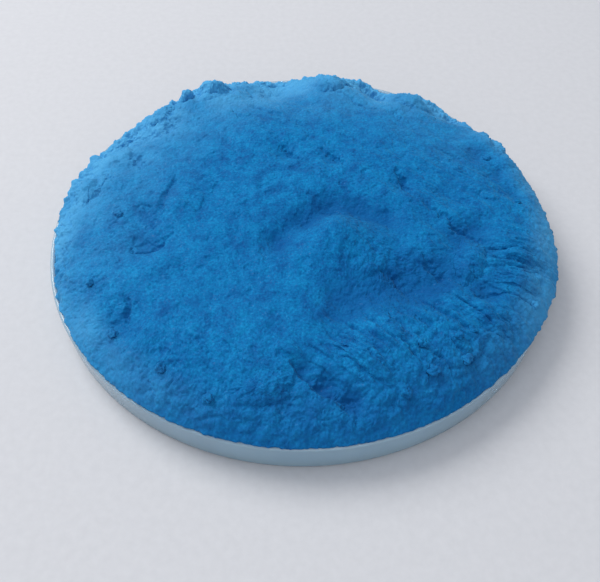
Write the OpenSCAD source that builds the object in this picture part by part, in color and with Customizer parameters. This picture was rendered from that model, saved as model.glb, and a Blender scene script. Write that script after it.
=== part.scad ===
// A shallow round plastic dish, heaped above its lip with fine blue pearl pigment powder.
// The powder is one loose mass. The lumps and slabs that have caked together on top of it
// are separate solids, each lying in its own shallow seat in the heap.
// The origin is the centre of the flat underside, +Z is up and +Y points to the back.

/* [Dish] */
// Outer diameter of the dish at its lip
dish_d = 93; // [84:1:110]
// Height from the underside to the top of the lip
dish_h = 6.4; // [5.4:0.2:12]
// Thickness of the side wall
wall_t = 0.9; // [0.7:0.1:1.4]
// Thickness of the floor
floor_t = 1; // [0.8:0.1:1.6]
// How much narrower the dish is at its underside than at its lip, on the diameter
draft = 0.7; // [0:0.1:2]
// Radius of the outer bottom corner
corner_r = 0.7; // [0.3:0.1:1]

/* [Heap] */
// Gap between the powder and the dish's wall
wall_gap = 0.3; // [0.2:0.05:0.5]
// Height of the heap's shoulder above the lip
shoulder_h = 3.9; // [2.5:0.1:5.5]
// How much higher the shoulder is at the back than at the sides
back_lift = 0.1; // [0:0.1:1]
// How far in from its edge the heap takes to climb to its shoulder
shoulder_w = 2.6; // [2:0.1:5]
// How much further in it takes at the very front
front_ease = 1.4; // [0:0.1:2]
// Rise from the shoulder to the middle of the heap
crown_h = 3.8; // [0:0.1:8]

/* [Lumps] */
// Gap between a lump and its seat in the heap
seat_gap = 0.25; // [0.2:0.05:0.4]
// Height of every lump's raised top, as a share of its own rise
rise_scale = 1; // [0.6:0.05:1.3]
// Size of the loose crumbs, as a share of their own size
crumb_scale = 1; // [0.7:0.05:1.2]

/* [Hidden] */

// Blue of the powder, and the milky clear of the dish
POWDER = [0.08, 0.45, 0.73];
POWDER_DARK = [0.05, 0.36, 0.64];
POWDER_PALE = [0.22, 0.56, 0.82];
CLEAR = [0.72, 0.8, 0.84];

rim_r = dish_d / 2;
base_r = rim_r - draft / 2;
lip_r = wall_t / 2;
inner_corner_r = max(corner_r - 0.2, 0.2);
inner_rim_r = rim_r - wall_t;
inner_base_r = base_r - wall_t;

// The heap's edge lies on the lip, this far in from the dish's outer edge and this far above it
edge_inset = 0.35;
edge_z = 0.35;
// Where the edge hangs further out (+) or draws back (-): bearing, half width in degrees, distance
EDGE_SHIFTS = [
    [-16, 17, 0.9],   // spills over the lip on the right
    [192, 15, -0.8],  // draws back from the wall on the left
    [146, 12, -0.9],  // draws back at the back left
    [97, 9, -1.3],    // saddle of the back edge
    [66, 5, -1.5],    // notch between the two back lumps
    [41, 7, -0.8],    // dip at the back right
    [272, 60, 0.15]   // a little further out at the front
];

// The sides and rings of the heap's grid, of a lump and of a crumb
HEAP_SIDES = 96;
HEAP_RINGS = 26;
LUMP_SIDES = 22;
LUMP_RINGS = 4;
CRUMB_SIDES = 7;
// A seat is cut this far up through the heap, well clear of its top
CUT_ABOVE = 6;

// Swells and hollows of the heap: x, y, radius and height
SWELLS = [
    // Dome in the middle
    [5, -8.8, 4.6, 2.4],
    // Valley that curls round behind the dome
    [-4, -10, 3.2, -1.7],
    [1, -5.4, 3.6, -2.6],
    [4.8, -1.6, 3.2, -2.2],
    [10, -2.2, 3.2, -2],
    [15, -3.8, 3, -1.6],
    // Broad hollow before the dome, and its arms to the right
    [6, -27, 4.5, -0.8],
    [8, -21.5, 5, -2.1],
    [17.5, -18.5, 5.5, -2.9],
    [24.5, -15.5, 4, -2.2],
    [31, -19, 3, -1.8],
    [16, -8, 4, -0.9],
    // Groove across the right-hand side
    [22.5, -3.6, 3, -0.9],
    [27.5, -8, 3.5, -1.6],
    [31.5, -5, 3.2, -1.3],
    [33.5, -10.5, 2.5, -0.8],
    // Pits behind the middle
    [-3, 13, 2.4, -1.2],
    [6, 11, 2.2, -0.9],
    [18.5, 4.5, 2.4, -1.1],
    [27, 2.5, 4, -0.9],
    // Long pit at the front, and the swell beside it
    [0.6, -34.6, 2, -1.6],
    [4.2, -37, 2, -1.8],
    [7.8, -39.5, 2.2, -2],
    [-1.5, -40.5, 3, -0.8],
    [12, -31, 5.5, 1.1],
    // Scarp and hollows on the left
    [-22.5, -1.5, 4, 1],
    [-27.5, -3, 3, -1.5],
    [-27, -10, 3, -1.6],
    [-24, -14.5, 3, 0.7],
    [-29, -26, 3, -1.2],
    [-10, -17, 9, -0.6],
    [-36, 5, 4, 0.6],
    // Dips and swells between the lumps at the back left
    [-32, 12.5, 2.6, -1.2],
    [-31, 20, 3, -1.4],
    [-27, 23, 2.4, -1.2],
    [-35, 23, 4.5, -3],
    [-38, 17, 3, -0.9],
    [-27, 33.5, 1.6, -2],
    [-29, 30, 3, -0.8],
    [-27, 28, 4, 0.5],
    [-17, 32, 5, 0.6],
    [-9, 22, 6, 0.6],
    // Back edge: its saddle, the notch beside the crown and the slope to the right
    [-5, 38, 6.5, -3.3],
    [7, 34, 5, 0.5],
    [13.5, 39.5, 3, -1.6],
    [17, 37, 3.8, -4],
    [22, 29, 5, 0.5],
    [28, 31, 4, -0.6],
    [31.5, 30, 3.5, -2.6],
    // Right-hand edge and the trough just inside it
    [29, 12, 8, -0.7],
    [34, 14.5, 2.6, -1],
    [37.5, 10, 2.6, -1.2],
    [39.5, 4.5, 2.6, -1],
    [37, 20, 3, 0.8],
    [40, 14, 3.5, 1]
];

// Each lump: x, y, heading, half length, half width, rise, depth of its seat
CROWN = [5.6, 37.6, -4, 4.8, 3.6, 1.6, 1.6];
BACK_LEFT_WIDE = [-18.8, 36.4, -12, 3.8, 3, 2.2, 1.5];
BACK_LEFT_NARROW = [-24.8, 33.7, 60, 2.1, 1.7, 2.1, 1.3];
SHOULDER = [-29.6, 28.3, 42, 3.5, 2.8, 1, 1.4];
BACK_RIGHT = [22, 32.6, -26, 6, 3.2, 1.2, 1.6];
LEFT_EDGE = [-39.8, 5.5, 78, 4.2, 2.6, 0.8, 1.4];
PLATEAU = [29, -12.6, 82, 5.2, 2.6, 1, 1.7];
UPPER_RIGHT = [37.9, -11, -8, 4.8, 1.9, 0.6, 1.3];
LOWER_RIGHT = [36.9, -16.4, -14, 4.7, 1.9, 0.6, 1.3];
FLAKY = [30.5, -23.6, -38, 5.4, 2.8, 0.6, 1.5];
FRONT_SLAB = [9.6, -33.4, -34, 5.6, 2.1, 0.7, 1.4];
FRONT = [-5.6, -38.2, 8, 4.6, 2.6, 0.8, 1.5];
LUMPS = [
    CROWN, BACK_LEFT_WIDE, BACK_LEFT_NARROW, SHOULDER, BACK_RIGHT, LEFT_EDGE,
    PLATEAU, UPPER_RIGHT, LOWER_RIGHT, FLAKY, FRONT_SLAB, FRONT
];

// Loose crumbs: x, y and radius
CRUMBS = [
    [16, -38.6, 0.8], [20.5, -35, 0.9], [26, -32.5, 0.8], [19, -30.5, 0.7], [25, -29, 0.7],
    [27.5, -27.5, 0.7], [39.5, -20.5, 0.7], [-14, -39.5, 0.8], [-22, -34.5, 0.8],
    [-30.5, -27.5, 0.7], [-36, -17.5, 0.7], [-33, -2.5, 0.7], [40, 2.5, 0.7], [36, 14.5, 0.7]
];

// Radius of the powder inside the dish
inner_r = inner_rim_r - wall_gap;

function sum_of(v, i = 0) = i == len(v) ? 0 : v[i] + sum_of(v, i + 1);

// Points of an arc in the plane, from one angle to another
function arc(x, y, r, from, to, steps = 6) =
    [for (i = [0:steps]) let (a = from + (to - from) * i / steps) [x + r * cos(a), y + r * sin(a)]];

// The difference between two bearings, from -180 to 180
function turn(a, b) = (a - b + 900) % 360 - 180;

// Radius of the heap's edge at a bearing
function edge_r(bearing) =
    rim_r - edge_inset + sum_of([for (e = EDGE_SHIFTS) e[2] * exp(-pow(turn(bearing, e[0]) / e[1], 2))]);

// Distance of a point from a lump's centre, as a share of the lump's outline
function share(lump, x, y) =
    let (dx = x - lump[0], dy = y - lump[1], h = lump[2])
    norm([(dx * cos(h) + dy * sin(h)) / lump[3], (dy * cos(h) - dx * sin(h)) / lump[4]]);

// How far a lump raises the surface at a point
function lump_rise(lump, x, y) = rise_scale * lump[5] * pow(max(0, 1 - pow(share(lump, x, y), 2)), 1.4);

function swell(s, x, y) = s[3] * exp(-(pow(x - s[0], 2) + pow(y - s[1], 2)) / (s[2] * s[2]));

// Small waves that keep the heap from looking turned on a lathe
function ripple(x, y) = 0.16 * sin(31 * x + 17 * y) * sin(24 * y - 13 * x) + 0.1 * sin(47 * x - 29 * y);

// Height of the powder's surface over a point of the dish
function surface_z(x, y) =
    let (
        r = norm([x, y]),
        edge = edge_r(atan2(y, x)),
        inward = max(0, edge - r),
        width = shoulder_w + front_ease * max(0, -y / edge),
        shoulder = shoulder_h + back_lift * y / edge,
        crown = crown_h * max(0, 1 - pow(r / edge, 2))
    )
    dish_h + edge_z
    + (shoulder + crown) * (1 - exp(-inward / width))
    + (ripple(x, y) + sum_of([for (s = SWELLS) swell(s, x, y)])) * min(1, inward / shoulder_w)
    + sum_of([for (lump = LUMPS) lump_rise(lump, x, y)]);

// The sides of a stack of closed rings that each have the same number of points
function ring_sides(rings, sides) = [
    for (j = [0:rings - 2], i = [0:sides - 1])
    let (a = j * sides + i, b = j * sides + (i + 1) % sides)
    each [[a, b, b + sides], [a, b + sides, a + sides]]
];

// A fan that closes a ring with a middle point
function fan(first, sides, middle, up) = [
    for (i = [0:sides - 1])
    let (a = first + i, b = first + (i + 1) % sides)
    up ? [a, b, middle] : [b, a, middle]
];

// Turn every face round, for the winding that OpenSCAD wants
function turned(faces) = [for (f = faces) [f[0], f[2], f[1]]];

function circle_points(r, z, sides) =
    [for (i = [0:sides - 1]) let (a = 360 * i / sides) [r * cos(a), r * sin(a), z]];

// A ring of the free surface, at a share of the way out from the middle to the edge
function surface_ring(out, sides) = [
    for (i = [0:sides - 1])
    let (a = 360 * i / sides, r = out * edge_r(a), x = r * cos(a), y = r * sin(a))
    [x, y, surface_z(x, y)]
];

// The closed mass of powder: floor, corner, side, overhang and the free surface
module mound() {
    foot = [
        circle_points(inner_base_r - inner_corner_r - wall_gap, floor_t, HEAP_SIDES),
        circle_points(inner_base_r - wall_gap, floor_t + inner_corner_r, HEAP_SIDES),
        circle_points(inner_r, dish_h - lip_r, HEAP_SIDES),
        circle_points(inner_r, dish_h + wall_gap, HEAP_SIDES)
    ];
    // Rings lie closer together near the edge, where the surface is steep
    tops = [
        for (j = [0:HEAP_RINGS - 1])
        let (t = 1 - j / HEAP_RINGS)
        surface_ring(1.6 * t - 0.6 * t * t, HEAP_SIDES)
    ];
    rings = concat(foot, tops);
    points = concat([for (ring = rings) each ring], [[0, 0, floor_t], [0, 0, surface_z(0, 0)]]);
    count = len(rings);
    faces = concat(
        ring_sides(count, HEAP_SIDES),
        fan(0, HEAP_SIDES, len(points) - 2, false),
        fan((count - 1) * HEAP_SIDES, HEAP_SIDES, len(points) - 1, true)
    );
    polyhedron(points, turned(faces), convexity = 6);
}

// Outline of a lump: a slightly ragged ellipse, grown by a gap
function lump_point(lump, t, angle, gap) =
    let (
        ragged = 1 + 0.05 * sin(3 * angle + 40 * lump[0]) + 0.04 * sin(5 * angle + 25 * lump[1]),
        u = t * (lump[3] * ragged + gap) * cos(angle),
        v = t * (lump[4] * ragged + gap) * sin(angle),
        h = lump[2]
    )
    [lump[0] + u * cos(h) - v * sin(h), lump[1] + u * sin(h) + v * cos(h)];

// A lump, or the cut for its seat when a gap is given: a bowl below, the surface on top
module lump_body(lump, gap = 0) {
    sides = LUMP_SIDES;
    raise = gap > 0 ? CUT_ABOVE : 0;
    middle = [lump[0], lump[1], surface_z(lump[0], lump[1])];
    low = [
        for (j = [1:LUMP_RINGS], i = [0:sides - 1])
        let (t = j / LUMP_RINGS, p = lump_point(lump, t, 360 * i / sides, gap))
        [p[0], p[1], surface_z(p[0], p[1]) - lump[6] * (1 - t * t) - lump_rise(lump, p[0], p[1]) - gap]
    ];
    high = [
        for (j = [LUMP_RINGS:-1:1], i = [0:sides - 1])
        let (t = j / LUMP_RINGS, p = lump_point(lump, t, 360 * i / sides, gap))
        [p[0], p[1], surface_z(p[0], p[1]) + 0.12 + raise]
    ];
    points = concat(
        low, high,
        [middle - [0, 0, lump[6] + lump_rise(lump, lump[0], lump[1]) + gap]],
        [middle + [0, 0, 0.12 + raise]]
    );
    rings = 2 * LUMP_RINGS;
    faces = concat(
        ring_sides(rings, sides),
        fan(0, sides, len(points) - 2, false),
        fan((rings - 1) * sides, sides, len(points) - 1, true)
    );
    polyhedron(points, turned(faces), convexity = 4);
}

// One crumb, a small uneven nut standing just clear of the surface below it
module crumb(c) {
    r = c[2] * crumb_scale;
    reach = r * 1.1;
    under = [for (dx = [-reach, 0, reach], dy = [-reach, 0, reach]) surface_z(c[0] + dx, c[1] + dy)];
    z = max(under) + 0.1;
    levels = [[0.55, 0], [1, 0.5], [0.95, 1], [0.5, 1.5]];
    points = concat(
        [
            for (level = levels, i = [0:CRUMB_SIDES - 1])
            let (a = 360 * i / CRUMB_SIDES, k = r * level[0] * (1 + 0.12 * sin(2 * a + 50 * c[0])))
            [c[0] + k * cos(a), c[1] + k * sin(a), z + r * level[1]]
        ],
        [[c[0], c[1], z], [c[0], c[1], z + r * 1.65]]
    );
    faces = concat(
        ring_sides(len(levels), CRUMB_SIDES),
        fan(0, CRUMB_SIDES, len(points) - 2, false),
        fan((len(levels) - 1) * CRUMB_SIDES, CRUMB_SIDES, len(points) - 1, true)
    );
    polyhedron(points, turned(faces));
}

module dish() {
    section = concat(
        [[0, 0]],
        arc(base_r - corner_r, corner_r, corner_r, -90, 0),
        arc(rim_r - lip_r, dish_h - lip_r, lip_r, 0, 180, 10),
        arc(inner_base_r - inner_corner_r, floor_t + inner_corner_r, inner_corner_r, 0, -90),
        [[0, floor_t]]
    );
    color(CLEAR) rotate_extrude($fn = 180) polygon(section);
}

module powder_heap() {
    color(POWDER) difference() {
        mound();
        for (lump = LUMPS) lump_body(lump, seat_gap);
    }
}

module crown_lump() {
    color(POWDER_PALE) lump_body(CROWN);
}

module back_left_lumps() {
    color(POWDER_PALE) {
        lump_body(BACK_LEFT_WIDE);
        lump_body(BACK_LEFT_NARROW);
    }
}

module shoulder_lump() {
    color(POWDER_PALE) lump_body(SHOULDER);
}

module back_right_lump() {
    color(POWDER_PALE) lump_body(BACK_RIGHT);
}

module left_edge_lump() {
    color(POWDER_PALE) lump_body(LEFT_EDGE);
}

module plateau_lump() {
    color(POWDER_PALE) lump_body(PLATEAU);
}

module upper_right_slab() {
    color(POWDER_DARK) lump_body(UPPER_RIGHT);
}

module lower_right_slab() {
    color(POWDER_DARK) lump_body(LOWER_RIGHT);
}

module flaky_lump() {
    color(POWDER_PALE) lump_body(FLAKY);
}

module front_slab() {
    color(POWDER_DARK) lump_body(FRONT_SLAB);
}

module front_lump() {
    color(POWDER_DARK) lump_body(FRONT);
}

module loose_crumbs() {
    color(POWDER_DARK) for (c = CRUMBS) crumb(c);
}

dish();
powder_heap();
crown_lump();
back_left_lumps();
shoulder_lump();
back_right_lump();
left_edge_lump();
plateau_lump();
upper_right_slab();
lower_right_slab();
flaky_lump();
front_slab();
front_lump();
loose_crumbs();
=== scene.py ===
"""Looks of a shallow clear dish heaped with caked blue pearl powder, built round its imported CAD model.

The powder's surface is one height function of x and y in millimetres, with the dish's centre at
the origin and +Y to the back. The heap and every lump on it take their tops from that function,
so that they meet in hairline cracks at rest and each lump still lifts off its own seat."""
import math

import bmesh
import bpy
import numpy as np
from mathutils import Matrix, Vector


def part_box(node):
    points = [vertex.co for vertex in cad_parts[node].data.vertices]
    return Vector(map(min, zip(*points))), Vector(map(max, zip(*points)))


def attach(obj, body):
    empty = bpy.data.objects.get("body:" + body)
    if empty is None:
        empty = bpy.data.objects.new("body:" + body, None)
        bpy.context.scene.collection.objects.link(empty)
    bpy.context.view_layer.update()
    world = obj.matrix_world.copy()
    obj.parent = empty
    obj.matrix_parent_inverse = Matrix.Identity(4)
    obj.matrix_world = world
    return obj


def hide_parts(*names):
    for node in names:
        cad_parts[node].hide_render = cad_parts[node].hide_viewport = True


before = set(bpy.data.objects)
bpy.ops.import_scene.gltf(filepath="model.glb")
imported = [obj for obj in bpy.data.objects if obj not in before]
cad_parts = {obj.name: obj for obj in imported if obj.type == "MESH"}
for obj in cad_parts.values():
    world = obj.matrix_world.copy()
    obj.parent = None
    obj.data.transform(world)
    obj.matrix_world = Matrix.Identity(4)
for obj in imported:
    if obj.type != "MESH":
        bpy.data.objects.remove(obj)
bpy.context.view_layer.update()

# The powder's shape is worked out in millimetres, and the stage in metres
MM = 0.001

# The dish: its radius and height come from the frame, its wall and floor are those of the CAD
dish_low, dish_high = (np.array(corner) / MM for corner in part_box("dish"))
rim_r = (dish_high[0] - dish_low[0]) / 2
dish_h = dish_high[2]
wall_t = 0.9
floor_t = 1.0
# How much smaller the radius is at the floor than at the lip
draft = 0.35
# Space between the powder and the wall, and between the powder and the floor
wall_gap = 0.12
floor_gap = 0.02
inner_r = rim_r - wall_t - wall_gap
# Size of the slant at the powder's bottom edge, which clears the dish's inner corner
inner_corner = 0.6

# The heap: its edge on the lip, the shoulder that rises from it and the crown in the middle
edge_inset = 0.25
edge_z = 0.3
shoulder_h = 3.9
shoulder_w = 2.6
# How much higher the shoulder is at the back, and how much further in it takes at the front
back_lift = 0.1
front_ease = 1.4
crown_h = 3.8
# Least height above the lip of powder that hangs over it, and of its underside
over_lip = 0.06
under_edge = 0.03

# Height of the finer relief: gentle roll, thin slabs, long streaks, clods and the ragged back edge
roll_h = 0.3
slab_h = 0.42
streak_h = 0.4
clod_h = 0.75
fringe_h = 0.75
# Small nuts everywhere and where the powder is nutty, pits, and two sizes of grain
nut_h = 0.08
nutty_h = 0.17
pit_h = 0.16
grain_h = 0.03
fine_grain_h = 0.045
# How far points also wander sideways
aside_w = 0.12
# Distance between thin slabs, and the headings in which slabs and streaks run, in the fan and elsewhere
slab_pitch = 1.9
fan_heading = math.radians(-12)
streak_heading = math.radians(-36)

# Where the heap's edge hangs further out (+) or draws back (-): bearing, half width in degrees, mm
EDGE_SHIFTS = [
    (-16, 17, 0.9),
    (192, 15, -0.8),
    (146, 12, -0.9),
    (97, 9, -1.3),
    (66, 5, -1.5),
    (41, 7, -0.8),
    (272, 60, 0.15),
]

# Swells and hollows of the heap: x, y, radius and height
SWELLS = [
    # Dome in the middle
    (5, -8.8, 4.6, 2.4),
    # Valley that curls round behind the dome
    (-4, -10, 3.2, -1.7),
    (1, -5.4, 3.6, -2.6),
    (4.8, -1.6, 3.2, -2.2),
    (10, -2.2, 3.2, -2),
    (15, -3.8, 3, -1.6),
    # Broad hollow before the dome, and its arms to the right
    (6, -27, 4.5, -0.8),
    (8, -21.5, 5, -2.1),
    (17.5, -18.5, 5.5, -2.9),
    (24.5, -15.5, 4, -2.2),
    (31, -19, 3, -1.8),
    (16, -8, 4, -0.9),
    # Groove across the right-hand side
    (22.5, -3.6, 3, -0.9),
    (27.5, -8, 3.5, -1.6),
    (31.5, -5, 3.2, -1.3),
    (33.5, -10.5, 2.5, -0.8),
    # Pits behind the middle
    (-3, 13, 2.4, -1.2),
    (6, 11, 2.2, -0.9),
    (18.5, 4.5, 2.4, -1.1),
    (27, 2.5, 4, -0.9),
    # Long pit at the front, and the swell beside it
    (0.6, -34.6, 2, -1.6),
    (4.2, -37, 2, -1.8),
    (7.8, -39.5, 2.2, -2),
    (-1.5, -40.5, 3, -0.8),
    (12, -31, 5.5, 1.1),
    # Scarp and hollows on the left
    (-22.5, -1.5, 4, 1),
    (-27.5, -3, 3, -1.5),
    (-27, -10, 3, -1.6),
    (-24, -14.5, 3, 0.7),
    (-29, -26, 3, -1.2),
    (-10, -17, 9, -0.6),
    (-36, 5, 4, 0.6),
    # Dips and swells between the lumps at the back left
    (-32, 12.5, 2.6, -1.2),
    (-31, 20, 3, -1.4),
    (-27, 23, 2.4, -1.2),
    (-35, 23, 4.5, -3),
    (-38, 17, 3, -0.9),
    (-27, 33.5, 1.6, -2),
    (-29, 30, 3, -0.8),
    (-27, 28, 4, 0.5),
    (-17, 32, 5, 0.6),
    (-9, 22, 6, 0.6),
    # Back edge: its saddle, the notch beside the crown and the slope to the right
    (-5, 38, 6.5, -3.3),
    (7, 34, 5, 0.5),
    (13.5, 39.5, 3, -1.6),
    (17, 37, 3.8, -4),
    (22, 29, 5, 0.5),
    (28, 31, 4, -0.6),
    (31.5, 30, 3.5, -2.6),
    # Right-hand edge and the trough just inside it
    (29, 12, 8, -0.7),
    (34, 14.5, 2.6, -1),
    (37.5, 10, 2.6, -1.2),
    (39.5, 4.5, 2.6, -1),
    (37, 20, 3, 0.8),
    (40, 14, 3.5, 1),
]

# Lumps that lift off: node, then x, y, heading, half length, half width, rise, depth of seat
LUMPS = {
    "crown_lump": [(5.6, 37.6, -4, 4.8, 3.6, 1.6, 1.6)],
    "back_left_lumps": [(-18.8, 36.4, -12, 3.8, 3, 2.2, 1.5), (-24.8, 33.7, 60, 2.1, 1.7, 2.1, 1.3)],
    "shoulder_lump": [(-29.6, 28.3, 42, 3.5, 2.8, 1, 1.4)],
    "back_right_lump": [(22, 32.6, -26, 6, 3.2, 1.2, 1.6)],
    "left_edge_lump": [(-39.8, 5.5, 78, 4.2, 2.6, 0.8, 1.4)],
    "plateau_lump": [(29, -12.6, 82, 5.2, 2.6, 1, 1.7)],
    "upper_right_slab": [(37.9, -11, -8, 4.8, 1.9, 0.6, 1.3)],
    "lower_right_slab": [(36.9, -16.4, -14, 4.7, 1.9, 0.6, 1.3)],
    "flaky_lump": [(30.5, -23.6, -38, 5.4, 2.8, 0.6, 1.5)],
    "front_slab": [(9.6, -33.4, -34, 5.6, 2.1, 0.7, 1.4)],
    "front_lump": [(-5.6, -38.2, 8, 4.6, 2.6, 0.8, 1.5)],
}
ALL_LUMPS = [lump for solids in LUMPS.values() for lump in solids]

# Space between a lump and its seat
SEAT_GAP = 0.12

# Loose clods: x, y and radius
CLODS = [
    (16, -38.6, 0.8),
    (20.5, -35, 0.9),
    (26, -32.5, 0.8),
    (19, -30.5, 0.7),
    (25, -29, 0.7),
    (27.5, -27.5, 0.7),
    (39.5, -20.5, 0.7),
    (-14, -39.5, 0.8),
    (-22, -34.5, 0.8),
    (-30.5, -27.5, 0.7),
    (-36, -17.5, 0.7),
    (-33, -2.5, 0.7),
    (40, 2.5, 0.7),
    (36, 14.5, 0.7),
]

# Cracks in the caked powder: half width, depth, then the points that each runs through
CRACKS = [
    (0.4, 0.4, (-12.4, 29.8), (-7.1, 25.7), (-3.3, 23.2)),
    (0.5, 0.4, (-14.8, 27.8), (-10.6, 21.8)),
    (0.3, 0.3, (-5.3, 25.6), (2.4, 18.8)),
    (0.4, 0.5, (4.5, 35.4), (10.7, 31), (15.6, 26.8)),
    (0.6, 0.5, (17.9, 27.4), (19.9, 22.6)),
    (1.1, 0.8, (-28.4, 27), (-25.6, 19.8)),
    (1.0, 0.6, (-34, 16), (-29.7, 9.4)),
    (0.6, 0.5, (-37.9, 10.4), (-35.4, 6.4)),
    (0.8, 0.7, (-23.6, 6.6), (-25.6, -1), (-26.4, -7.3)),
    (0.7, 0.6, (-29.8, -11.3), (-26, -10.9), (-22.3, -8.3)),
    (0.8, 0.6, (-29.3, -20.5), (-27.8, -26.5)),
    (0.9, 0.7, (-3.6, 14.4), (-0.2, 10.2)),
    (0.6, 0.6, (3.3, 13.9), (8.1, 9)),
    (0.8, 0.8, (18.0, 8.6), (19.4, 2)),
    (0.6, 0.6, (6.1, -2.1), (11.4, -5.6)),
    (0.7, 0.8, (22.2, 0.2), (27.1, -4.8), (33.4, -9.9)),
    (0.9, 0.7, (13.3, -15), (18, -19.5)),
    (0.7, 0.7, (20.4, -12.2), (25.9, -18.9)),
    (0.4, 0.5, (28.8, -20.4), (34, -19.2), (40.5, -20.9)),
    (0.4, 0.5, (31, -10.2), (37.5, -9.7), (43, -11.6)),
    (0.4, 0.4, (31.5, -14.3), (37.2, -13.7), (43, -15.4)),
    (0.4, 0.7, (19, -20.6), (23.6, -24.6), (28.8, -28.1)),
    (0.4, 0.6, (23.6, -19.2), (27.2, -22), (31.6, -26.6)),
    (0.5, 0.7, (13.3, -28.8), (16.4, -31), (19.3, -34.4)),
    (0.4, 0.6, (9.7, -28), (14.8, -32.6)),
    (0.4, 0.4, (1.1, -29.8), (5.6, -33), (9.6, -35.2)),
    (0.3, 0.3, (4.6, -29.8), (11.2, -34.2)),
    (1.1, 1.0, (-4, -32.2), (2.4, -37.2), (9.6, -42.6)),
    (0.4, 0.6, (6.4, -25.6), (11.8, -31.9)),
    (0.5, 0.7, (9.6, -24.3), (15.8, -31.9)),
    (0.4, 0.6, (12.9, -23.6), (18.3, -29.9)),
    (0.4, 0.6, (16.3, -22.6), (22.5, -28.5)),
    (0.4, 0.5, (7.1, -29), (12.1, -35)),
    (0.4, 0.5, (3.3, -27.8), (7.9, -32.8)),
    (0.4, 0.6, (19.6, -31), (24, -35)),
    (0.4, 0.6, (23.8, -29.2), (28.2, -32.7)),
    (0.3, 0.3, (-18.3, -28.2), (-13.5, -33.7)),
    (0.3, 0.3, (-11.4, -31.2), (-7, -35.8)),
    (0.4, 0.4, (24, 14), (28, 10.4), (31, 9.2)),
    (0.4, 0.4, (27, 16.4), (33.5, 11.4)),
    (0.4, 0.4, (30, 5), (34, 1.6), (38, 0.6)),
]

# Where the cake has sheared into streaks and thin slabs: x, y, half length, half width, strength
STREAKED = [
    (-6, 26, 12, 7, 0.7),
    (-23, -2, 5, 10, 0.8),
    (28, 8, 10, 10, 0.9),
    (37, -13, 9, 8, 1.2),
    (28, -24, 13, 6, 1.1),
    (8, -31, 14, 6, 1.2),
    (-14, -31, 9, 5, 0.5),
]

# Where it has broken into small round nuts
NUTTY = [
    (2, -42, 28, 6, 1.3),
    (30, -32, 12, 7, 1.5),
    (-25, -35, 12, 8, 0.8),
    (15, -16, 9, 6, 0.9),
    (45, -8, 5, 16, 0.5),
    (-36, -14, 8, 14, 0.7),
    (-30, 24, 12, 12, 0.6),
    (6, 8, 12, 7, 0.3),
]

# Where the back and left edge stands in larger clods
CLODDY = [
    (-20, 34, 10, 7, 1.0),
    (-32, 23, 7, 8, 1.0),
    (-40, 8, 6, 9, 0.8),
    (4, 36, 14, 5, 0.6),
    (25, 31, 9, 6, 0.5),
    (40, 10, 5, 12, 0.4),
]

# Points across the heap's grid, across each lump's grid, and rounds of splitting a clod's faces
HEAP_POINTS = 640
LUMP_POINTS = 80
CLOD_ROUNDS = 4


# Noise ------------------------------------------------------------------------------------------

# Gradients to pick from at each corner of a cell, in the plane and in space
PLANE_DIRECTIONS = np.array([(math.cos(k * math.pi / 8), math.sin(k * math.pi / 8)) for k in range(16)])
SPACE_DIRECTIONS = np.array([
    (a, b, c)
    for a in (-1, 0, 1)
    for b in (-1, 0, 1)
    for c in (-1, 0, 1)
    if abs(a) + abs(b) + abs(c) == 2
])


def hashed(cell, seed):
    """A whole number for each lattice cell, the same in every run."""
    h = seed * 974634777
    for place, prime in zip(cell, (374761393, 668265263, 1274126177)):
        h = h + place * prime
    h = h & 0xFFFFFFFF
    h = ((h ^ (h >> 13)) * 1103515245) & 0xFFFFFFFF
    return (h ^ (h >> 16)) & 0xFFFFFF


def noise(points, size, seed):
    """Gradient noise from about -1 to 1 at points of a plane or of space, with features of that size."""
    axes = range(points.shape[-1])
    p = [points[..., k] / size for k in axes]
    cell = [np.floor(q).astype(np.int64) for q in p]
    f = [q - c for q, c in zip(p, cell)]
    ease = [t * t * t * (t * (t * 6 - 15) + 10) for t in f]
    directions = PLANE_DIRECTIONS if len(p) == 2 else SPACE_DIRECTIONS
    total = 0
    for corner in np.ndindex(*(2,) * len(p)):
        pick = hashed([c + step for c, step in zip(cell, corner)], seed) % len(directions)
        weight = 1.4
        slope = 0
        for k in axes:
            weight = weight * (ease[k] if corner[k] else 1 - ease[k])
            slope = slope + directions[pick, k] * (f[k] - corner[k])
        total = total + weight * slope
    return total


def layered(points, size, seed, layers=3, gain=0.5):
    """Several layers of noise, each of half the size of the one before."""
    return sum(gain**k * noise(points, size / 2**k, seed + k) for k in range(layers))


def crumbly(points, size, seed, layers=3, gain=0.55):
    """Layers of round bumps with sharp valleys between them."""
    return sum(gain**k * (2 * np.abs(noise(points, size / 2**k, seed + k)) - 0.5) for k in range(layers))


def smooth(low, high, value):
    """0 below low, 1 above high, with a smooth turn between them."""
    t = np.clip((value - low) / (high - low), 0, 1)
    return t * t * (3 - 2 * t)


# The powder's surface ---------------------------------------------------------------------------


def edge_r(bearing):
    """Radius of the heap's edge at a bearing in degrees."""
    r = rim_r - edge_inset
    for middle, half_width, shift in EDGE_SHIFTS:
        off = (bearing - middle + 180) % 360 - 180
        r = r + shift * np.exp(-((off / half_width) ** 2))
    return r


def patches(x, y, areas):
    """How strongly a point lies in any of the areas."""
    total = 0
    for ax, ay, half_x, half_y, strength in areas:
        total = total + strength * np.exp(-(((x - ax) / half_x) ** 2) - ((y - ay) / half_y) ** 2)
    return total


def ragged_outline(lump, angle):
    """How far a lump's outline swings out or in from its ellipse."""
    swing = 1 + 0.08 * np.sin(2 * angle + lump[0]) + 0.08 * np.sin(3 * angle + 2 * lump[1])
    swing = swing + 0.06 * np.sin(5 * angle + lump[1]) + 0.035 * np.sin(11 * angle + 2 * lump[0])
    return swing + 0.02 * np.sin(17 * angle) + 0.015 * np.sin(29 * angle)


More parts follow.
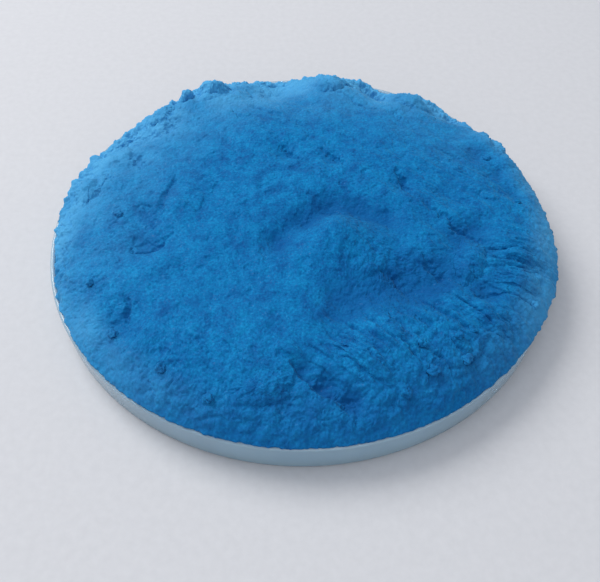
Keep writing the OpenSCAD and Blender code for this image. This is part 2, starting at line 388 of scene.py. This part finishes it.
def lump_share(lump, x, y):
    """Distance from a lump's centre as a share of its ragged outline."""
    dx, dy = x - lump[0], y - lump[1]
    c, s = math.cos(math.radians(lump[2])), math.sin(math.radians(lump[2]))
    u, v = (dx * c + dy * s) / lump[3], (dy * c - dx * s) / lump[4]
    return np.hypot(u, v) / ragged_outline(lump, np.arctan2(v, u))


def lump_rise(lump, x, y):
    """How far a lump swells above the heap, with a groove along parts of its front and right side."""
    share = lump_share(lump, x, y)
    dx, dy = x - lump[0], y - lump[1]
    away = (0.75 * dx - 0.65 * dy) / np.maximum(np.hypot(dx, dy), 0.1)
    groove = np.exp(-(((share - 1) * lump[4] / 0.45) ** 2)) * smooth(-0.2, 0.7, away)
    return lump[5] * np.clip(1 - share**2, 0, None) ** 1.4 - 0.35 * groove


def swells_at(x, y):
    """Height of all swells and hollows together."""
    return sum(h * np.exp(-((x - sx) ** 2 + (y - sy) ** 2) / size**2) for sx, sy, size, h in SWELLS)


def smooth_surface(x, y):
    """The heap without its lumps and finer relief, and how clear of the edge each point is, 0 to 1."""
    r = np.hypot(x, y)
    edge = edge_r(np.degrees(np.arctan2(y, x)))
    inward = np.clip(edge - r, 0, None)
    width = shoulder_w + front_ease * np.clip(-y / edge, 0, None)
    shoulder = shoulder_h + back_lift * y / rim_r
    crown = crown_h * np.clip(1 - (r / edge) ** 2, 0, None)
    clear = np.minimum(1, inward / shoulder_w)
    z = dish_h + edge_z + (shoulder + crown) * (1 - np.exp(-inward / width))
    return z + swells_at(x, y) * clear, clear


def crack_depth(x, y, bend, uneven):
    """Depth of the deepest crack at each point. Cracks wander, taper to their ends and vary in width."""
    px, py = x + bend[..., 0], y + bend[..., 1]
    depth = np.zeros(x.shape)
    for width, deep, *route in CRACKS:
        lengths = [math.dist(a, b) for a, b in zip(route, route[1:])]
        nearest = np.full(x.shape, 99.0)
        place = np.zeros(x.shape)
        before = 0
        for (ax, ay), (bx, by), length in zip(route, route[1:], lengths):
            t = np.clip(((px - ax) * (bx - ax) + (py - ay) * (by - ay)) / length**2, 0, 1)
            d = np.hypot(px - ax - t * (bx - ax), py - ay - t * (by - ay))
            place = np.where(d < nearest, (before + t * length) / sum(lengths), place)
            nearest = np.minimum(nearest, d)
            before = before + length
        taper = np.sqrt(np.clip(4 * place * (1 - place), 0, 1))
        reach = width * (0.25 + taper) * (0.85 + 0.5 * uneven)
        depth = np.maximum(depth, deep * taper * np.clip(1 - nearest / reach, 0, 1) ** 0.8)
    return depth


def slabs(x, y, heading, seed):
    """Thin overlapping slabs: each rises gently towards the front and then drops off a sharp edge."""
    along = x * np.cos(heading) + y * np.sin(heading)
    across = y * np.cos(heading) - x * np.sin(heading)
    flow = np.stack([along / 5, across], -1)
    phase = across / slab_pitch + 0.9 * noise(flow, 2.6, seed) + 0.3 * noise(flow, 0.9, seed + 1)
    t = phase - np.floor(phase)
    patchy = smooth(-0.35, 0.3, noise(flow, 1.7, seed + 2))
    return (np.minimum(1 - t, t / 0.12) - 0.5) * patchy


def streaks(x, y, heading, seed):
    """Long soft ridges along a heading."""
    along = x * np.cos(heading) + y * np.sin(heading)
    across = y * np.cos(heading) - x * np.sin(heading)
    return layered(np.stack([along / 7, across], -1), 1.7, seed, 3, 0.6)


def relief(x, y, z, clear):
    """Everything finer than the swells, off the smooth surface: slabs, clods, nuts, pits, cracks, grain.

    It is shallower where clear, the share of the way in from the edge, is low."""
    flat = np.stack([x, y], -1)
    full = np.stack([x, y, z], -1)
    bend = np.stack([layered(flat, 3.4, 11, 4, 0.6), layered(flat, 3.4, 21, 4, 0.6)], -1)
    streaked = patches(x, y, STREAKED)
    nutty = patches(x, y, NUTTY)
    height = roll_h * layered(flat, 6.5, 81, 2)

    # Streaks run down to the right, and nearly level in the fan on the right
    fan = smooth(0.2, 0.6, np.exp(-(((x - 41) / 12) ** 2) - ((y + 11) / 9) ** 2))
    for share, heading, seed in ((1 - fan, streak_heading, 41), (fan, fan_heading, 51)):
        lines = slab_h * slabs(x, y, heading, seed) + streak_h * streaks(x, y, heading, seed + 4)
        height = height + streaked * share * lines

    height = height + clod_h * patches(x, y, CLODDY) * crumbly(flat + 0.5 * bend, 5.5, 91, 3, 0.42)
    height = height + (nut_h + nutty_h * nutty) * crumbly(full, 2.4, 61, 4, 0.55)
    fringe = smooth(0.86, 0.98, np.hypot(x, y) / rim_r) * smooth(-0.3, 0.2, (y - 0.4 * x) / rim_r)
    height = height + fringe_h * fringe * crumbly(full, 3.2, 95, 3, 0.6)
    height = height - pit_h * smooth(0.42, 0.7, noise(full, 1.9, 71))
    straight = 1 - 0.65 * np.clip(streaked, 0, 1)[..., None]
    height = height - crack_depth(x, y, bend * straight, noise(flat, 1.3, 75))
    grain = grain_h * crumbly(full, 0.9, 101, 2, 1.0) + fine_grain_h * noise(full, 0.4, 105)
    return height * (0.5 + 0.5 * clear) + grain


def swollen(x, y):
    """The heap with its lumps, but without anything finer."""
    z, clear = smooth_surface(x, y)
    for lump in ALL_LUMPS:
        z = z + lump_rise(lump, x, y)
    return z, clear


def powder_points(x, y):
    """Points of the powder's free surface over x and y, and how far each stands off the smooth heap."""
    z, clear = swollen(x, y)
    step = 0.25
    slope_x = (swollen(x + step, y)[0] - z) / step
    slope_y = (swollen(x, y + step)[0] - z) / step
    up = np.stack([-slope_x, -slope_y, np.ones(x.shape)], -1)
    up = up / np.linalg.norm(up, axis=-1, keepdims=True)
    off = relief(x, y, z, clear)
    points = np.stack([x, y, z], -1)
    aside = np.stack([layered(points, 1.1, 121, 2), layered(points, 1.1, 131, 2), 0 * z], -1)
    return points + up * off[..., None] + aside_w * aside, off


def underside(lump, x, y, top):
    """Height of a lump's underside inside its outline, under the given top."""
    z, _ = smooth_surface(x, y)
    share = lump_share(lump, x, y)
    deep = lump[6] * np.clip(1 - share**2, 0, 1)
    low = z - deep + 0.2 * layered(np.stack([x, y], -1), 1.6, 111, 2)
    return np.minimum(low, top - 0.05 - 0.3 * deep)


# Meshes -----------------------------------------------------------------------------------------


def disc_grid(n):
    """Points of an n by n grid pressed into a unit disc with even cells."""
    t = np.linspace(-1, 1, n)
    a, b = np.meshgrid(t, t)
    wide = np.abs(a) > np.abs(b)
    r = np.where(wide, a, b)
    ratio = np.where(wide, b, a) / np.where(r == 0, 1, r)
    turn = np.where(wide, ratio * np.pi / 4, np.pi / 2 - ratio * np.pi / 4)
    return r * np.cos(turn), r * np.sin(turn)


def grid_quads(n):
    """The cells of an n by n grid."""
    i = np.arange(n * n).reshape(n, n)
    return np.stack([i[:-1, :-1], i[:-1, 1:], i[1:, 1:], i[1:, :-1]], -1).reshape(-1, 4)


def grid_edge(n):
    """The outer loop of an n by n grid, anticlockwise from its first corner."""
    i = np.arange(n * n).reshape(n, n)
    return np.concatenate([i[0, :-1], i[:-1, -1], i[-1, :0:-1], i[:0:-1, 0]])


def loop_quads(upper, lower):
    """Quads that join an upper loop to a lower one of the same length, facing out."""
    return np.stack([upper, lower, np.roll(lower, -1), np.roll(upper, -1)], -1)


def make_mesh(name, points, quads, triangles=()):
    """A smooth-shaded object from points in millimetres."""
    mesh = bpy.data.meshes.new(name)
    quads = np.asarray(quads, dtype=np.int32).reshape(-1, 4)
    triangles = np.asarray(triangles, dtype=np.int32).reshape(-1, 3)
    corners = np.concatenate([quads.reshape(-1), triangles.reshape(-1)])
    starts = np.concatenate([np.arange(len(quads)) * 4, len(quads) * 4 + np.arange(len(triangles)) * 3])
    mesh.vertices.add(len(points))
    mesh.vertices.foreach_set("co", (np.asarray(points) * MM).astype(np.float32).reshape(-1))
    mesh.loops.add(len(corners))
    mesh.loops.foreach_set("vertex_index", corners.astype(np.int32))
    mesh.polygons.add(len(starts))
    mesh.polygons.foreach_set("loop_start", starts.astype(np.int32))
    mesh.update(calc_edges=True)
    mesh.polygons.foreach_set("use_smooth", np.ones(len(starts), dtype=bool))
    mesh.validate()
    obj = bpy.data.objects.new(name, mesh)
    bpy.context.collection.objects.link(obj)
    return obj


def paint_powder(obj, off):
    """Stores two values at each point: haze, how far its colour is painted paler with pale dust and
    painted sheen, and a painted shade for how sunken it is.
    """
    points = np.empty(len(obj.data.vertices) * 3)
    obj.data.vertices.foreach_get("co", points)
    x, y = points.reshape(-1, 3)[:, 0] / MM, points.reshape(-1, 3)[:, 1] / MM
    out = np.hypot(x, y) / rim_r

    # Pale dust and painted sheen: paler over the back and left, where the window light falls and the view
    # grazes, and in a narrow band all round but for the front
    far = smooth(-0.25, 1, (-0.42 * x + 0.91 * y) / rim_r)
    outer = smooth(0.35, 1.0, out)
    patchy = 0.8 + 0.5 * layered(np.stack([x, y], -1), 9, 151, 2)
    band = smooth(0.84, 0.98, out) * smooth(-0.95, -0.4, (y - 0.15 * x) / rim_r)
    haze = np.clip((outer * (0.03 + 1.15 * far) + 0.6 * band) * patchy, 0, 1)

    # Painted shade: the hollows, and the slope at the front edge that faces away from the light, are
    # painted a deeper blue
    front = smooth(0.74, 0.97, out) * smooth(0.1, 0.8, (0.3 * x - 0.95 * y) / rim_r)
    painted_shade = 0.5 * smooth(0.1, 1.0, -off) + 0.7 * smooth(0, 2.3, -swells_at(x, y)) + 0.45 * front
    # Less painted shade where the edge is painted paler
    painted_shade = np.clip(painted_shade, 0, 1) * (1 - 0.9 * haze)
    for name, value in (("haze", haze), ("hollow", painted_shade)):
        layer = obj.data.attributes.new(name, "FLOAT", "POINT")
        layer.data.foreach_set("value", value.astype(np.float32))
    return obj


def fan_triangles(loop, middle):
    """Triangles that close a loop from its middle point, facing down."""
    return np.stack([np.roll(loop, -1), loop, np.full(len(loop), middle)], -1)


def heap_top(n):
    """Grid points of the heap's free surface, with a seat under each lump, and how far they stand off."""
    u, v = disc_grid(n)
    out = np.hypot(u, v)
    bearing = np.arctan2(v, u)
    around = np.stack([rim_r * np.cos(bearing), rim_r * np.sin(bearing)], -1)
    r = edge_r(np.degrees(bearing)) * (1.15 * out - 0.15 * out**2)
    rough = 0.08 + 0.34 * smooth(-0.75, 0.1, np.sin(bearing))
    r = r + rough * (noise(around, 2.6, 141) + 0.8 * noise(around, 0.9, 143)) * out**20
    x, y = r * np.cos(bearing), r * np.sin(bearing)
    cell = 2 * rim_r / n
    seats = []
    for lump in ALL_LUMPS:
        # Points near the outline move onto it, so that the seat has a clean rim
        share = lump_share(lump, x, y)
        off = np.abs(share - 1) * np.hypot(x - lump[0], y - lump[1]) / np.maximum(share, 0.01)
        on_outline = off < 0.7 * cell
        pull = np.where(on_outline, 1 / np.maximum(share, 0.01), 1)
        x, y = lump[0] + (x - lump[0]) * pull, lump[1] + (y - lump[1]) * pull
        seats.append((lump, (share < 1) & ~on_outline))
    points, off = powder_points(x, y)
    top = points[..., 2]
    z = top
    for lump, inside in seats:
        z = np.where(inside, underside(lump, x, y, top) - SEAT_GAP, z)
    beyond = np.hypot(points[..., 0], points[..., 1]) > inner_r - 0.1
    points[..., 2] = np.where(beyond, np.maximum(z, dish_h + over_lip), z)
    return points.reshape(-1, 3), off.reshape(-1)


def heap_piece(n):
    """The heap: its free surface, the edge that hangs on the lip, its side and its flat bottom."""
    top, off = heap_top(n)
    loop = grid_edge(n)
    edge = np.hypot(*top[loop, :2].T)
    away = top[loop, :2] / edge[:, None]
    short = np.clip(inner_r - edge, 0, None)
    below_lip = np.where(short > 0, dish_h - 0.3 - 0.8 * short, dish_h + under_edge)
    levels = [
        (inner_r, below_lip),
        (inner_r - 0.02, below_lip - 0.6),
        (inner_r - draft * 0.5, dish_h / 2),
        (inner_r - draft, floor_t + inner_corner),
        (inner_r - draft - inner_corner, floor_t + floor_gap),
    ]
    rings, points = [loop], [top]
    for radius, height in levels:
        rings.append(np.arange(len(loop)) + sum(len(p) for p in points))
        points.append(np.column_stack([radius * away, height * np.ones(len(loop))]))
    points.append(np.array([[0, 0, floor_t + floor_gap]]))
    points = np.concatenate(points)
    sides = [loop_quads(a, b) for a, b in zip(rings, rings[1:])]
    quads = np.concatenate([grid_quads(n), *sides])
    off = np.concatenate([off, np.zeros(len(points) - len(off))])
    obj = make_mesh("heap_of_powder", points, quads, fan_triangles(rings[-1], len(points) - 1))
    return paint_powder(obj, off)


def lump_points(lump, n):
    """Top and underside points of one lump, which meet at its outline."""
    u, v = disc_grid(n)
    out, angle = np.hypot(u, v), np.arctan2(v, u)
    c, s = math.cos(math.radians(lump[2])), math.sin(math.radians(lump[2]))
    out = out * ragged_outline(lump, angle)
    a, b = lump[3] * out * np.cos(angle), lump[4] * out * np.sin(angle)
    x, y = lump[0] + a * c - b * s, lump[1] + a * s + b * c
    above, off = powder_points(x, y)
    below = above.copy()
    below[..., 2] = underside(lump, x, y, above[..., 2])
    return above.reshape(-1, 3), below.reshape(-1, 3), off.reshape(-1)


def lump_piece(node, solids, n):
    """All the solids of one lump node as one object."""
    points, quads, offs = [], [], []
    for lump in solids:
        first = sum(len(p) for p in points)
        loop = grid_edge(n)
        faces = grid_quads(n)
        above, below, off = lump_points(lump, n)
        points += [above, below]
        offs += [off, off]
        quads += [faces + first, faces[:, ::-1] + first + n * n]
        quads.append(loop_quads(loop, loop + n * n) + first)
    name = node.replace("lump", "caked_lump").replace("slab", "caked_slab")
    obj = make_mesh(name, np.concatenate(points), np.concatenate(quads))
    return paint_powder(obj, np.concatenate(offs))


def clod_piece(spots, rounds):
    """Loose clods at x, y with that radius, as rough pebbles half sunk in the surface."""
    ball = bmesh.new()
    bmesh.ops.create_icosphere(ball, subdivisions=rounds, radius=1)
    sphere = np.array([v.co for v in ball.verts])
    faces = np.array([[v.index for v in f.verts] for f in ball.faces])
    ball.free()
    points, triangles, offs = [], [], []
    for k, (x, y, radius) in enumerate(spots):
        middle, _ = powder_points(np.array([x]), np.array([y]))
        reach = 1 + 0.4 * layered(sphere + 3 * k, 0.9, 161, 3)
        grown = radius * sphere * reach[:, None] * (1, 1, 0.8)
        triangles.append(faces + len(points) * len(sphere))
        points.append(grown + middle[0] + (0, 0, 0.15 * radius))
        offs.append(reach - 1.2)
    obj = make_mesh("loose_clods", np.concatenate(points), (), np.concatenate(triangles))
    return paint_powder(obj, np.concatenate(offs))


# Materials --------------------------------------------------------------------------------------


def new_material(name):
    """A node material, with its tree and its shader."""
    material = bpy.data.materials.new(name)
    material.use_nodes = True
    tree = material.node_tree
    return material, tree, tree.nodes["Principled BSDF"]


def noise_node(tree, scale, detail=3.0, roughness=0.55):
    """Noise in object space, with its scale in features per metre."""
    place = tree.nodes.new("ShaderNodeTexCoord")
    node = tree.nodes.new("ShaderNodeTexNoise")
    node.inputs["Scale"].default_value = scale
    node.inputs["Detail"].default_value = detail
    node.inputs["Roughness"].default_value = roughness
    tree.links.new(place.outputs["Object"], node.inputs["Vector"])
    return node


def bump_node(tree, source, strength, distance):
    """Bump of a height, with its full depth in metres."""
    bump = tree.nodes.new("ShaderNodeBump")
    bump.inputs["Strength"].default_value = strength
    bump.inputs["Distance"].default_value = distance
    tree.links.new(source, bump.inputs["Height"])
    return bump


def ramp_node(tree, source, stops):
    """A colour ramp over a source, from places between 0 and 1 and their colours."""
    ramp = tree.nodes.new("ShaderNodeValToRGB")
    elements = ramp.color_ramp.elements
    while len(elements) < len(stops):
        elements.new(0.5)
    for element, (place, colour) in zip(elements, stops):
        element.position = place
        element.color = (*colour, 1)
    tree.links.new(source, ramp.inputs["Fac"])
    return ramp


def blend_by(tree, attribute, source, colour):
    """The source colour, turning to another as an attribute of the mesh rises to 1."""
    share = tree.nodes.new("ShaderNodeAttribute")
    share.attribute_name = attribute
    mix = tree.nodes.new("ShaderNodeMix")
    mix.data_type = "RGBA"
    mix.inputs["B"].default_value = (*colour, 1)
    tree.links.new(share.outputs["Fac"], mix.inputs["Factor"])
    tree.links.new(source, mix.inputs["A"])
    return mix.outputs["Result"]


def powder_material():
    """Blue pearl powder: soft uneven blue, fine grain, painted shade and glints, dust and painted sheen,
    a faint sheen and scattered bright flakes.
    """
    material, tree, shader = new_material("pearl powder")
    links = tree.links
    broad = noise_node(tree, 340, 5, 0.68)
    colour = ramp_node(tree, broad.outputs["Fac"], [
        (0.32, (0.001, 0.100, 0.31)),
        (0.5, (0.001, 0.155, 0.405)),
        (0.68, (0.003, 0.205, 0.48)),
    ])
    speckle = noise_node(tree, 2400, 3, 0.7)
    # Painted shade and painted glints in the grain: the noise that bumps the fine grain also darkens its
    # pits and lightens its tops into pale specks
    shades = [(0.34, (0.5, 0.6, 0.72)), (0.5, (0.9, 0.92, 0.94)), (0.68, (1.7, 1.4, 1.25))]
    grain_shade_and_glints = ramp_node(tree, speckle.outputs["Fac"], shades)
    mixed = tree.nodes.new("ShaderNodeMix")
    mixed.data_type = "RGBA"
    mixed.blend_type = "MULTIPLY"
    mixed.inputs["Factor"].default_value = 0.7
    links.new(colour.outputs["Color"], mixed.inputs["A"])
    links.new(grain_shade_and_glints.outputs["Color"], mixed.inputs["B"])
    # Painted shade: a deep blue where the powder is sunken and on its front slope
    hollow = blend_by(tree, "hollow", mixed.outputs["Result"], (0.0006, 0.078, 0.27))
    # Pale dust and painted sheen: a paler blue towards the back, the left and the edges
    dust_and_sheen_colour = blend_by(tree, "haze", hollow, (0.07, 0.345, 0.64))
    links.new(dust_and_sheen_colour, shader.inputs["Base Color"])

    place = tree.nodes.new("ShaderNodeTexCoord")
    flakes = tree.nodes.new("ShaderNodeTexVoronoi")
    flakes.inputs["Scale"].default_value = 5200
    links.new(place.outputs["Object"], flakes.inputs["Vector"])
    shine = ramp_node(tree, flakes.outputs["Color"], [(0.80, (0.72,) * 3), (0.86, (0.3,) * 3)])
    links.new(shine.outputs["Color"], shader.inputs["Roughness"])

    clumps = noise_node(tree, 900, 4, 0.65)
    soft = bump_node(tree, clumps.outputs["Fac"], 0.45, 0.0003)
    fine = bump_node(tree, speckle.outputs["Fac"], 0.3, 0.00012)
    links.new(soft.outputs["Normal"], fine.inputs["Normal"])
    links.new(fine.outputs["Normal"], shader.inputs["Normal"])
    shader.inputs["Specular IOR Level"].default_value = 0.08
    shader.inputs["Sheen Weight"].default_value = 0.15
    shader.inputs["Sheen Roughness"].default_value = 0.45
    shader.inputs["Sheen Tint"].default_value = (0.3, 0.76, 1, 1)
    return material


def plastic_material():
    """Clear moulded plastic, slightly milky, with an uneven gloss, a blue tint standing in for the
    powder's light seen through it, and a painted highlight on the lip.
    """
    material, tree, shader = new_material("milky clear plastic")
    haze = noise_node(tree, 120, 3)
    # The wall's blue tint is painted light: it stands in for the blue powder's light coming through the
    # plastic
    shades = [(0.35, (0.42, 0.64, 0.80)), (0.65, (0.46, 0.69, 0.85))]
    tint = ramp_node(tree, haze.outputs["Fac"], shades)

    # Painted highlight: the wall turns paler over its top half millimetre, along the lip
    lip_highlight_band = 0.5
    place = tree.nodes.new("ShaderNodeTexCoord")
    split = tree.nodes.new("ShaderNodeSeparateXYZ")
    tree.links.new(place.outputs["Object"], split.inputs["Vector"])
    level = tree.nodes.new("ShaderNodeMapRange")
    level.inputs["From Min"].default_value = (dish_h - lip_highlight_band) * MM
    level.inputs["From Max"].default_value = dish_h * MM
    tree.links.new(split.outputs["Z"], level.inputs["Value"])
    lip = tree.nodes.new("ShaderNodeMix")
    lip.data_type = "RGBA"
    lip.inputs["B"].default_value = (0.6, 0.82, 0.97, 1)
    tree.links.new(level.outputs["Result"], lip.inputs["Factor"])
    tree.links.new(tint.outputs["Color"], lip.inputs["A"])
    tree.links.new(lip.outputs["Result"], shader.inputs["Base Color"])

    rough = ramp_node(tree, haze.outputs["Fac"], [(0.3, (0.16,) * 3), (0.7, (0.26,) * 3)])
    tree.links.new(rough.outputs["Color"], shader.inputs["Roughness"])
    shader.inputs["Transmission Weight"].default_value = 0.5
    shader.inputs["IOR"].default_value = 1.5
    return material


def paper_material():
    """Matt white paper with a faint fibre."""
    material, tree, shader = new_material("white paper")
    fibre = noise_node(tree, 700, 4)
    shades = [(0.3, (0.565, 0.575, 0.60)), (0.7, (0.595, 0.605, 0.63))]
    tint = ramp_node(tree, fibre.outputs["Fac"], shades)
    tree.links.new(tint.outputs["Color"], shader.inputs["Base Color"])
    bump = bump_node(tree, fibre.outputs["Fac"], 0.08, 0.0001)
    tree.links.new(bump.outputs["Normal"], shader.inputs["Normal"])
    shader.inputs["Roughness"].default_value = 0.8
    return material


def dress(obj, material):
    """Gives an object that one material."""
    obj.data.materials.clear()
    obj.data.materials.append(material)


# Stage ------------------------------------------------------------------------------------------


def make_floor():
    """The sheet of paper that the dish stands on."""
    half_side = 0.9
    mesh = bpy.data.meshes.new("paper")
    bm = bmesh.new()
    bmesh.ops.create_grid(bm, x_segments=8, y_segments=8, size=half_side)
    bm.to_mesh(mesh)
    bm.free()
    floor = bpy.data.objects.new("paper", mesh)
    bpy.context.collection.objects.link(floor)
    dress(floor, paper_material())


def area_light(name, location, size, watts, colour):
    """A round soft light that faces the dish."""
    data = bpy.data.lights.new(name, "AREA")
    data.shape = "DISK"
    data.size = size
    data.energy = watts
    data.color = colour
    light = bpy.data.objects.new(name, data)
    light.location = location
    light.rotation_euler = (-Vector(location)).to_track_quat("-Z", "Y").to_euler()
    bpy.context.collection.objects.link(light)


def make_lights():
    """A window at the back left, light thrown back from the front, a ceiling and a pale room."""
    area_light("window", (-0.50, 0.38, 0.66), 0.6, 6.4, (1, 0.985, 0.97))
    area_light("bounce", (0.1, -0.7, 0.3), 0.5, 0.9, (1, 0.98, 0.95))
    area_light("ceiling", (-0.1, -0.1, 1.1), 0.9, 2.4, (0.95, 0.97, 1))
    world = bpy.data.worlds.new("soft room")
    world.use_nodes = True
    background = world.node_tree.nodes["Background"]
    background.inputs["Color"].default_value = (0.84, 0.87, 0.95, 1)
    background.inputs["Strength"].default_value = 0.48
    bpy.context.scene.world = world
    bpy.context.scene.view_settings.view_transform = "Standard"


def make_camera():
    """A close, wide view from 46 degrees above the lip, a little off the dish's centre."""
    data = bpy.data.cameras.new("camera")
    data.sensor_width = 36
    data.lens = 45.6
    camera = bpy.data.objects.new("camera", data)
    rim = Vector((0, 0, dish_h * MM))
    camera.location = rim + Vector((0, -0.10005, 0.1031))
    target = rim + Vector((-0.0003, -0.0156, 0))
    look = target - camera.location
    camera.rotation_euler = look.to_track_quat("-Z", "Y").to_euler()
    data.clip_start = 0.001
    bpy.context.collection.objects.link(camera)
    bpy.context.scene.camera = camera


# Build ------------------------------------------------------------------------------------------

make_camera()
make_lights()
make_floor()

powder = powder_material()
heap = heap_piece(HEAP_POINTS)
dress(heap, powder)
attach(heap, "powder")
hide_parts("powder_heap")

for node, solids in LUMPS.items():
    piece = lump_piece(node, solids, LUMP_POINTS)
    dress(piece, powder)
    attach(piece, node)
    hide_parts(node)

clods = clod_piece(CLODS, CLOD_ROUNDS)
dress(clods, powder)
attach(clods, "powder")
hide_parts("loose_crumbs")

plastic = plastic_material()
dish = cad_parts["dish"]
for k in range(len(dish.data.materials)):
    dish.data.materials[k] = plastic
